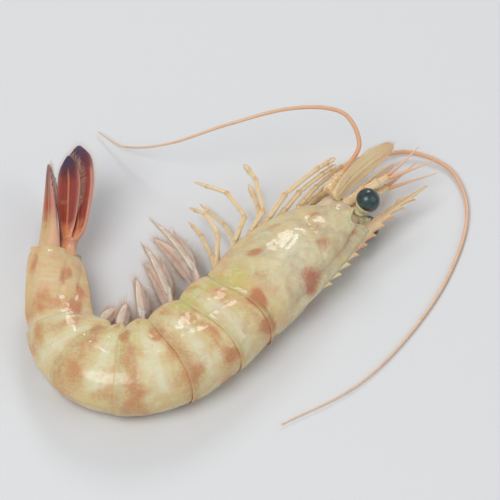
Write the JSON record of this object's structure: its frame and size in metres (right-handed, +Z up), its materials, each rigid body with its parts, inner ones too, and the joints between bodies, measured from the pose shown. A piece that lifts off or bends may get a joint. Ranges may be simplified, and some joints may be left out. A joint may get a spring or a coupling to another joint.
{
  "type": "raw caramote prawn",
  "caption": "Whole raw caramote prawn curled on its side, with a toothed rostrum, dark eyes, long antennae, jointed legs, swimmerets and a closed tail fan.",
  "frame": {"origin": "middle of the prawn's plan, on the surface that it lies on", "axes": "+Z up, out of the left flank, which lies uppermost; +X towards the head's side, away from the tail fan, along the greatest extent; +Y away from the bend of the curled tail"},
  "size_m": [0.1334, 0.114, 0.0263],
  "materials": {
    "shell": "wet translucent shell, cream with orange-brown patches",
    "tail_fan": "wet ribbed blades, brick red with blue tips",
    "limb": "wet cream to orange limbs",
    "swimmeret": "wet translucent pinkish white",
    "eye": "wet dark blue-green",
    "feeler": "thin ringed whip, pale pink"
  },
  "bodies": {
    "root": {"carapace": "shell", "somite_1": "shell", "somite_2": "shell", "somite_3": "shell", "somite_4": "shell", "somite_5": "shell", "somite_6": "shell", "telson": "tail_fan", "eye_left": "eye", "antennal_scale_left": "shell", "antennule_left": "limb", "antenna_left": "feeler", "maxilliped_left": "limb", "leg_left_1": "limb", "leg_left_2": "limb", "leg_left_3": "limb", "leg_left_4": "limb", "leg_left_5": "limb", "swimmeret_left_1": "swimmeret", "swimmeret_left_2": "swimmeret", "swimmeret_left_3": "swimmeret", "swimmeret_left_4": "swimmeret", "swimmeret_left_5": "swimmeret", "uropod_inner_left": "tail_fan", "uropod_outer_left": "tail_fan", "eye_right": "eye", "antennal_scale_right": "shell", "antennule_right": "limb", "antenna_right": "feeler", "maxilliped_right": "limb", "leg_right_1": "limb", "leg_right_2": "limb", "leg_right_3": "limb", "leg_right_4": "limb", "leg_right_5": "limb", "swimmeret_right_1": "swimmeret", "swimmeret_right_2": "swimmeret", "swimmeret_right_3": "swimmeret", "swimmeret_right_4": "swimmeret", "swimmeret_right_5": "swimmeret", "uropod_inner_right": "tail_fan", "uropod_outer_right": "tail_fan"}
  },
  "joints": []
}
